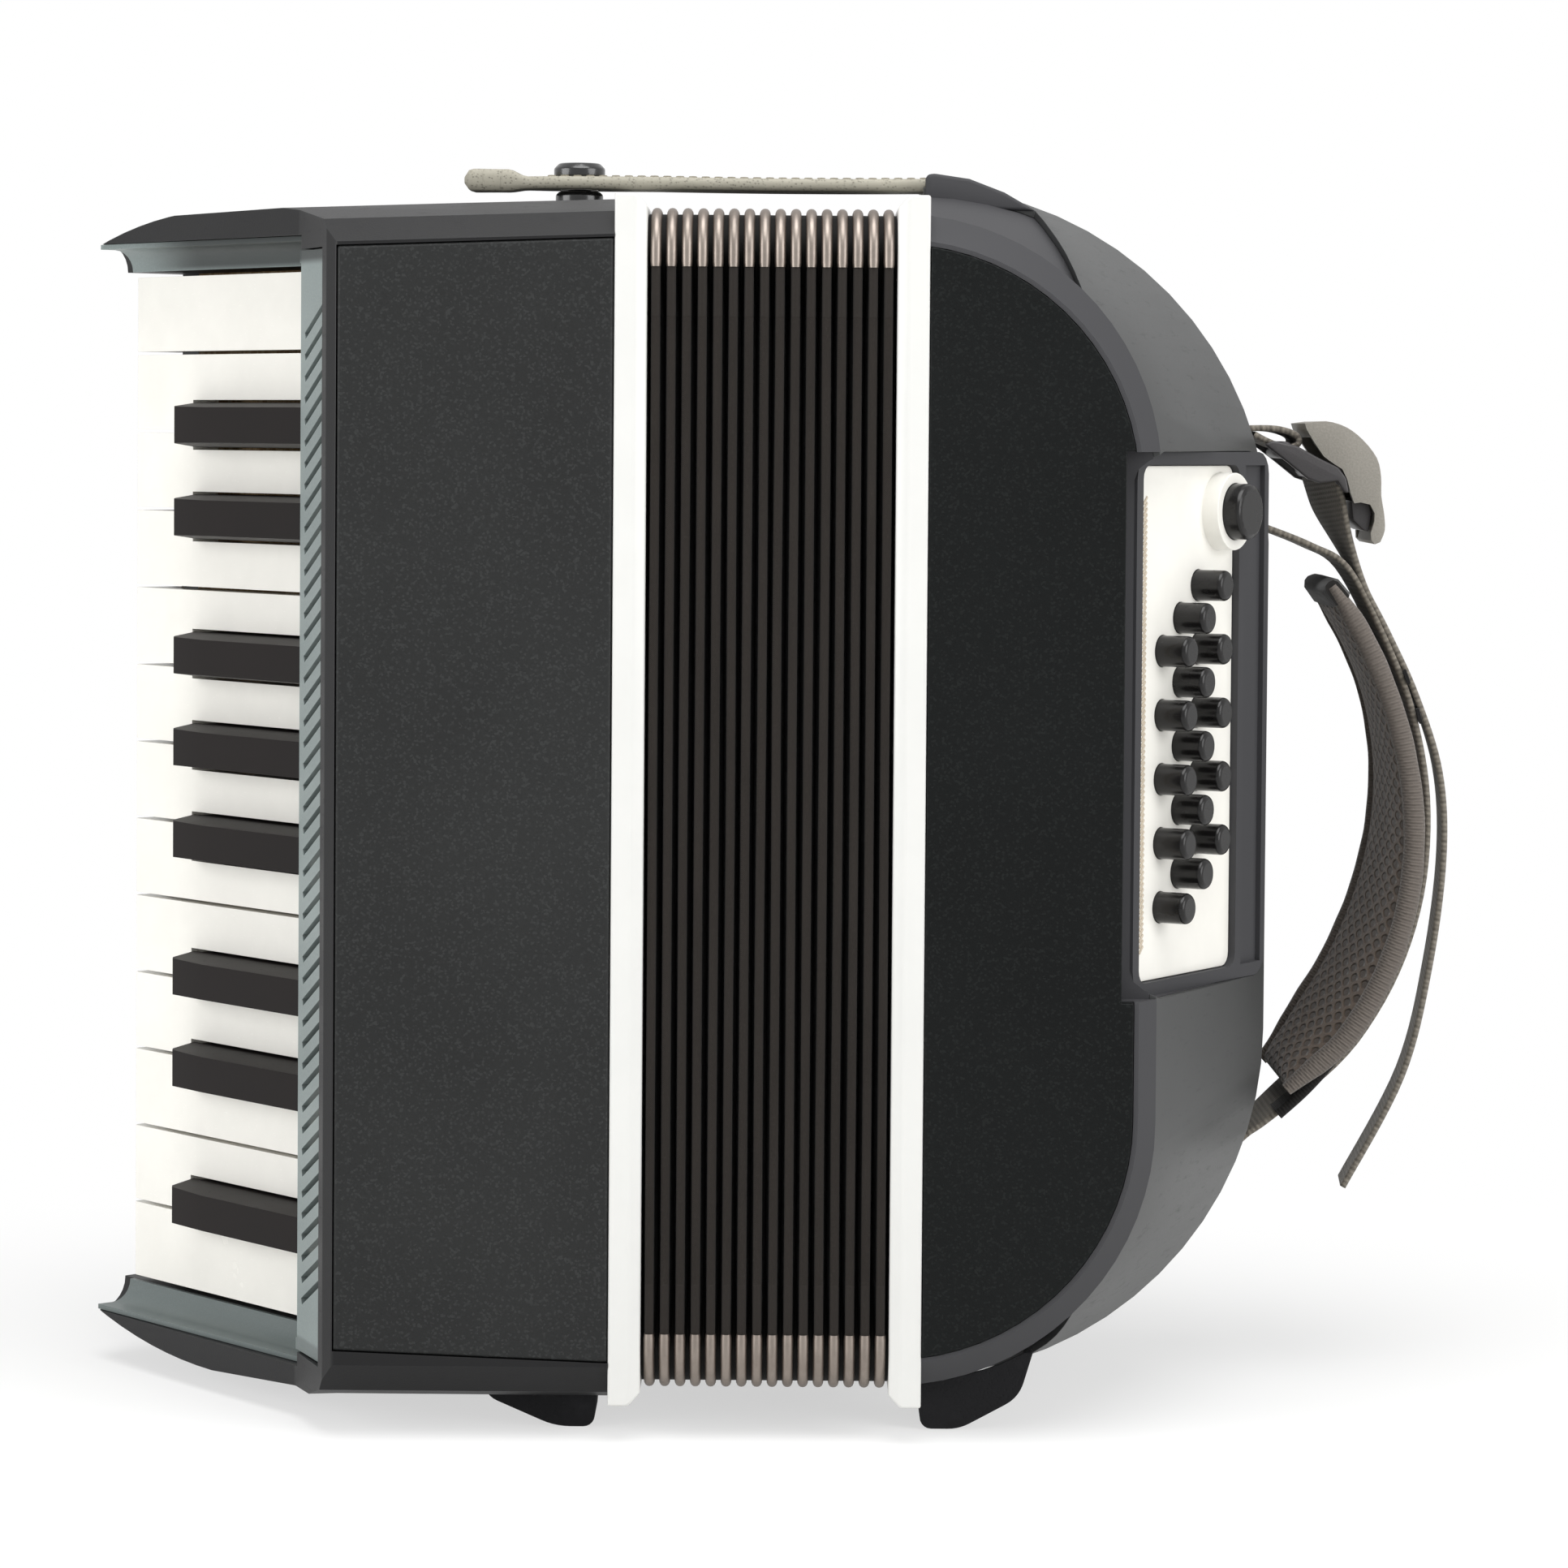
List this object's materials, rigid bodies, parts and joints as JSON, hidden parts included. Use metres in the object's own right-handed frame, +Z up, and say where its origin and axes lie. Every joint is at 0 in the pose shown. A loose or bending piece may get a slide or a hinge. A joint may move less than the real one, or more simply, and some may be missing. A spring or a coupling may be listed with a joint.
{
  "type": "piano accordion",
  "caption": "Small piano accordion standing on its feet: sloped piano keyboard, folded bellows between two white frames, button plate and padded hand strap.",
  "frame": {"origin": "on the floor, under the middle of the closed bellows and midway between front and back", "axes": "+X from the keyboard side to the bass side, along the way the bellows open; +Y from the front covers to the player; +Z up"},
  "size_m": [0.3139, 0.142, 0.2785],
  "materials": {
    "key_white": "glossy moulded plastic",
    "key_black": "glossy moulded plastic",
    "button_black": "glossy moulded plastic",
    "casing_dark": "fine-grained satin plastic",
    "cover_charcoal": "speckled charcoal paint",
    "cover_black": "speckled near-black paint",
    "surround_grey": "satin blue-grey plastic",
    "band_grey": "satin grey plastic",
    "frame_white": "white lacquer",
    "plate_white": "ivory-white plastic",
    "reed_wood": "bare wood",
    "bed_wood": "bare wood",
    "steel": "drawn steel",
    "bracket_metal": "nickel plate",
    "corner_metal": "nickel plate, warm",
    "bellows_cloth": "cloth-covered card",
    "stud_black": "black enamel",
    "rubber_black": "matte rubber",
    "strap_leatherette": "olive-grey leatherette",
    "pad_mesh": "padded cloth with a mesh lining",
    "webbing": "woven webbing",
    "buckle_plastic": "grey moulded plastic"
  },
  "bodies": {
    "treble": {"treble_casing": "casing_dark", "treble_cover": "cover_charcoal", "keyboard_surround": "surround_grey", "key_bed": "bed_wood", "key_rod": "steel", "treble_reed_unit": "reed_wood", "treble_frame": "frame_white", "strap_stud": "stud_black", "treble_feet": "rubber_black", "shoulder_strap_brackets": "bracket_metal", "bellows_folds": "bellows_cloth", "bellows_corners": "corner_metal"},
    "bass": {"bellows_strap": "strap_leatherette", "bass_casing": "casing_dark", "bass_cover": "cover_black", "bass_band": "band_grey", "button_plate": "plate_white", "bass_frame": "frame_white", "bass_reed_unit": "reed_wood", "bass_feet": "rubber_black", "hand_strap_pad": "pad_mesh", "hand_strap_webbing": "webbing", "hand_strap_buckle": "buckle_plastic"},
    "white_key_01": {"white_key_01": "key_white"},
    "white_key_02": {"white_key_02": "key_white"},
    "white_key_03": {"white_key_03": "key_white"},
    "white_key_04": {"white_key_04": "key_white"},
    "white_key_05": {"white_key_05": "key_white"},
    "white_key_06": {"white_key_06": "key_white"},
    "white_key_07": {"white_key_07": "key_white"},
    "white_key_08": {"white_key_08": "key_white"},
    "white_key_09": {"white_key_09": "key_white"},
    "white_key_10": {"white_key_10": "key_white"},
    "white_key_11": {"white_key_11": "key_white"},
    "white_key_12": {"white_key_12": "key_white"},
    "white_key_13": {"white_key_13": "key_white"},
    "black_key_01": {"black_key_01": "key_black"},
    "black_key_02": {"black_key_02": "key_black"},
    "black_key_03": {"black_key_03": "key_black"},
    "black_key_04": {"black_key_04": "key_black"},
    "black_key_05": {"black_key_05": "key_black"},
    "black_key_06": {"black_key_06": "key_black"},
    "black_key_07": {"black_key_07": "key_black"},
    "black_key_08": {"black_key_08": "key_black"},
    "bass_button_01": {"bass_button_01": "button_black"},
    "bass_button_02": {"bass_button_02": "button_black"},
    "bass_button_03": {"bass_button_03": "button_black"},
    "bass_button_04": {"bass_button_04": "button_black"},
    "bass_button_05": {"bass_button_05": "button_black"},
    "bass_button_06": {"bass_button_06": "button_black"},
    "bass_button_07": {"bass_button_07": "button_black"},
    "bass_button_08": {"bass_button_08": "button_black"},
    "bass_button_09": {"bass_button_09": "button_black"},
    "bass_button_10": {"bass_button_10": "button_black"},
    "bass_button_11": {"bass_button_11": "button_black"},
    "bass_button_12": {"bass_button_12": "button_black"},
    "bass_button_13": {"bass_button_13": "button_black"},
    "bass_button_14": {"bass_button_14": "button_black"},
    "bass_button_15": {"bass_button_15": "button_black"},
    "air_button": {"air_button": "button_black"}
  },
  "joints": [
    {"name": "bellows", "type": "slide", "parent": "treble", "child": "bass", "axis": [1, 0, 0], "range_m": [0, 0.2], "deforming": ["bellows_folds", "bellows_corners", "bellows_strap"]},
    {"name": "white_key_01_press", "type": "hinge", "parent": "treble", "child": "white_key_01", "pos_m": [-0.07963, -0.04675, 0.1382], "axis": [0, 0, -1], "range_deg": [0, 2.6], "stiffness_Nm_per_rad": 0.25, "springref_deg": -11.46},
    {"name": "white_key_02_press", "type": "hinge", "parent": "treble", "child": "white_key_02", "pos_m": [-0.07963, -0.04675, 0.1382], "axis": [0, 0, -1], "range_deg": [0, 2.6], "stiffness_Nm_per_rad": 0.25, "springref_deg": -11.46},
    {"name": "white_key_03_press", "type": "hinge", "parent": "treble", "child": "white_key_03", "pos_m": [-0.07963, -0.04675, 0.1382], "axis": [0, 0, -1], "range_deg": [0, 2.6], "stiffness_Nm_per_rad": 0.25, "springref_deg": -11.46},
    {"name": "white_key_04_press", "type": "hinge", "parent": "treble", "child": "white_key_04", "pos_m": [-0.07963, -0.04675, 0.1382], "axis": [0, 0, -1], "range_deg": [0, 2.6], "stiffness_Nm_per_rad": 0.25, "springref_deg": -11.46},
    {"name": "white_key_05_press", "type": "hinge", "parent": "treble", "child": "white_key_05", "pos_m": [-0.07963, -0.04675, 0.1382], "axis": [0, 0, -1], "range_deg": [0, 2.6], "stiffness_Nm_per_rad": 0.25, "springref_deg": -11.46},
    {"name": "white_key_06_press", "type": "hinge", "parent": "treble", "child": "white_key_06", "pos_m": [-0.07963, -0.04675, 0.1382], "axis": [0, 0, -1], "range_deg": [0, 2.6], "stiffness_Nm_per_rad": 0.25, "springref_deg": -11.46},
    {"name": "white_key_07_press", "type": "hinge", "parent": "treble", "child": "white_key_07", "pos_m": [-0.07963, -0.04675, 0.1382], "axis": [0, 0, -1], "range_deg": [0, 2.6], "stiffness_Nm_per_rad": 0.25, "springref_deg": -11.46},
    {"name": "white_key_08_press", "type": "hinge", "parent": "treble", "child": "white_key_08", "pos_m": [-0.07963, -0.04675, 0.1382], "axis": [0, 0, -1], "range_deg": [0, 2.6], "stiffness_Nm_per_rad": 0.25, "springref_deg": -11.46},
    {"name": "white_key_09_press", "type": "hinge", "parent": "treble", "child": "white_key_09", "pos_m": [-0.07963, -0.04675, 0.1382], "axis": [0, 0, -1], "range_deg": [0, 2.6], "stiffness_Nm_per_rad": 0.25, "springref_deg": -11.46},
    {"name": "white_key_10_press", "type": "hinge", "parent": "treble", "child": "white_key_10", "pos_m": [-0.07963, -0.04675, 0.1382], "axis": [0, 0, -1], "range_deg": [0, 2.6], "stiffness_Nm_per_rad": 0.25, "springref_deg": -11.46},
    {"name": "white_key_11_press", "type": "hinge", "parent": "treble", "child": "white_key_11", "pos_m": [-0.07963, -0.04675, 0.1382], "axis": [0, 0, -1], "range_deg": [0, 2.6], "stiffness_Nm_per_rad": 0.25, "springref_deg": -11.46},
    {"name": "white_key_12_press", "type": "hinge", "parent": "treble", "child": "white_key_12", "pos_m": [-0.07963, -0.04675, 0.1382], "axis": [0, 0, -1], "range_deg": [0, 2.6], "stiffness_Nm_per_rad": 0.25, "springref_deg": -11.46},
    {"name": "white_key_13_press", "type": "hinge", "parent": "treble", "child": "white_key_13", "pos_m": [-0.07963, -0.04675, 0.1382], "axis": [0, 0, -1], "range_deg": [0, 2.6], "stiffness_Nm_per_rad": 0.25, "springref_deg": -11.46},
    {"name": "black_key_01_press", "type": "hinge", "parent": "treble", "child": "black_key_01", "pos_m": [-0.07963, -0.04675, 0.1382], "axis": [0, 0, -1], "range_deg": [0, 2.6], "stiffness_Nm_per_rad": 0.25, "springref_deg": -11.46},
    {"name": "black_key_02_press", "type": "hinge", "parent": "treble", "child": "black_key_02", "pos_m": [-0.07963, -0.04675, 0.1382], "axis": [0, 0, -1], "range_deg": [0, 2.6], "stiffness_Nm_per_rad": 0.25, "springref_deg": -11.46},
    {"name": "black_key_03_press", "type": "hinge", "parent": "treble", "child": "black_key_03", "pos_m": [-0.07963, -0.04675, 0.1382], "axis": [0, 0, -1], "range_deg": [0, 2.6], "stiffness_Nm_per_rad": 0.25, "springref_deg": -11.46},
    {"name": "black_key_04_press", "type": "hinge", "parent": "treble", "child": "black_key_04", "pos_m": [-0.07963, -0.04675, 0.1382], "axis": [0, 0, -1], "range_deg": [0, 2.6], "stiffness_Nm_per_rad": 0.25, "springref_deg": -11.46},
    {"name": "black_key_05_press", "type": "hinge", "parent": "treble", "child": "black_key_05", "pos_m": [-0.07963, -0.04675, 0.1382], "axis": [0, 0, -1], "range_deg": [0, 2.6], "stiffness_Nm_per_rad": 0.25, "springref_deg": -11.46},
    {"name": "black_key_06_press", "type": "hinge", "parent": "treble", "child": "black_key_06", "pos_m": [-0.07963, -0.04675, 0.1382], "axis": [0, 0, -1], "range_deg": [0, 2.6], "stiffness_Nm_per_rad": 0.25, "springref_deg": -11.46},
    {"name": "black_key_07_press", "type": "hinge", "parent": "treble", "child": "black_key_07", "pos_m": [-0.07963, -0.04675, 0.1382], "axis": [0, 0, -1], "range_deg": [0, 2.6], "stiffness_Nm_per_rad": 0.25, "springref_deg": -11.46},
    {"name": "black_key_08_press", "type": "hinge", "parent": "treble", "child": "black_key_08", "pos_m": [-0.07963, -0.04675, 0.1382], "axis": [0, 0, -1], "range_deg": [0, 2.6], "stiffness_Nm_per_rad": 0.25, "springref_deg": -11.46},
    {"name": "bass_button_01_press", "type": "slide", "parent": "bass", "child": "bass_button_01", "axis": [-0.848, 0.5299, 0], "range_m": [0, 0.0045], "stiffness_N_per_m": 120, "springref_m": -0.006},
    {"name": "bass_button_02_press", "type": "slide", "parent": "bass", "child": "bass_button_02", "axis": [-0.848, 0.5299, 0], "range_m": [0, 0.0045], "stiffness_N_per_m": 120, "springref_m": -0.006},
    {"name": "bass_button_03_press", "type": "slide", "parent": "bass", "child": "bass_button_03", "axis": [-0.848, 0.5299, 0], "range_m": [0, 0.0045], "stiffness_N_per_m": 120, "springref_m": -0.006},
    {"name": "bass_button_04_press", "type": "slide", "parent": "bass", "child": "bass_button_04", "axis": [-0.848, 0.5299, 0], "range_m": [0, 0.0045], "stiffness_N_per_m": 120, "springref_m": -0.006},
    {"name": "bass_button_05_press", "type": "slide", "parent": "bass", "child": "bass_button_05", "axis": [-0.848, 0.5299, 0], "range_m": [0, 0.0045], "stiffness_N_per_m": 120, "springref_m": -0.006},
    {"name": "bass_button_06_press", "type": "slide", "parent": "bass", "child": "bass_button_06", "axis": [-0.848, 0.5299, 0], "range_m": [0, 0.0045], "stiffness_N_per_m": 120, "springref_m": -0.006},
    {"name": "bass_button_07_press", "type": "slide", "parent": "bass", "child": "bass_button_07", "axis": [-0.848, 0.5299, 0], "range_m": [0, 0.0045], "stiffness_N_per_m": 120, "springref_m": -0.006},
    {"name": "bass_button_08_press", "type": "slide", "parent": "bass", "child": "bass_button_08", "axis": [-0.848, 0.5299, 0], "range_m": [0, 0.0045], "stiffness_N_per_m": 120, "springref_m": -0.006},
    {"name": "bass_button_09_press", "type": "slide", "parent": "bass", "child": "bass_button_09", "axis": [-0.848, 0.5299, 0], "range_m": [0, 0.0045], "stiffness_N_per_m": 120, "springref_m": -0.006},
    {"name": "bass_button_10_press", "type": "slide", "parent": "bass", "child": "bass_button_10", "axis": [-0.848, 0.5299, 0], "range_m": [0, 0.0045], "stiffness_N_per_m": 120, "springref_m": -0.006},
    {"name": "bass_button_11_press", "type": "slide", "parent": "bass", "child": "bass_button_11", "axis": [-0.848, 0.5299, 0], "range_m": [0, 0.0045], "stiffness_N_per_m": 120, "springref_m": -0.006},
    {"name": "bass_button_12_press", "type": "slide", "parent": "bass", "child": "bass_button_12", "axis": [-0.848, 0.5299, 0], "range_m": [0, 0.0045], "stiffness_N_per_m": 120, "springref_m": -0.006},
    {"name": "bass_button_13_press", "type": "slide", "parent": "bass", "child": "bass_button_13", "axis": [-0.848, 0.5299, 0], "range_m": [0, 0.0045], "stiffness_N_per_m": 120, "springref_m": -0.006},
    {"name": "bass_button_14_press", "type": "slide", "parent": "bass", "child": "bass_button_14", "axis": [-0.848, 0.5299, 0], "range_m": [0, 0.0045], "stiffness_N_per_m": 120, "springref_m": -0.006},
    {"name": "bass_button_15_press", "type": "slide", "parent": "bass", "child": "bass_button_15", "axis": [-0.848, 0.5299, 0], "range_m": [0, 0.0045], "stiffness_N_per_m": 120, "springref_m": -0.006},
    {"name": "air_button_press", "type": "slide", "parent": "bass", "child": "air_button", "axis": [-0.848, 0.5299, 0], "range_m": [0, 0.004], "stiffness_N_per_m": 200, "springref_m": -0.008}
  ]
}
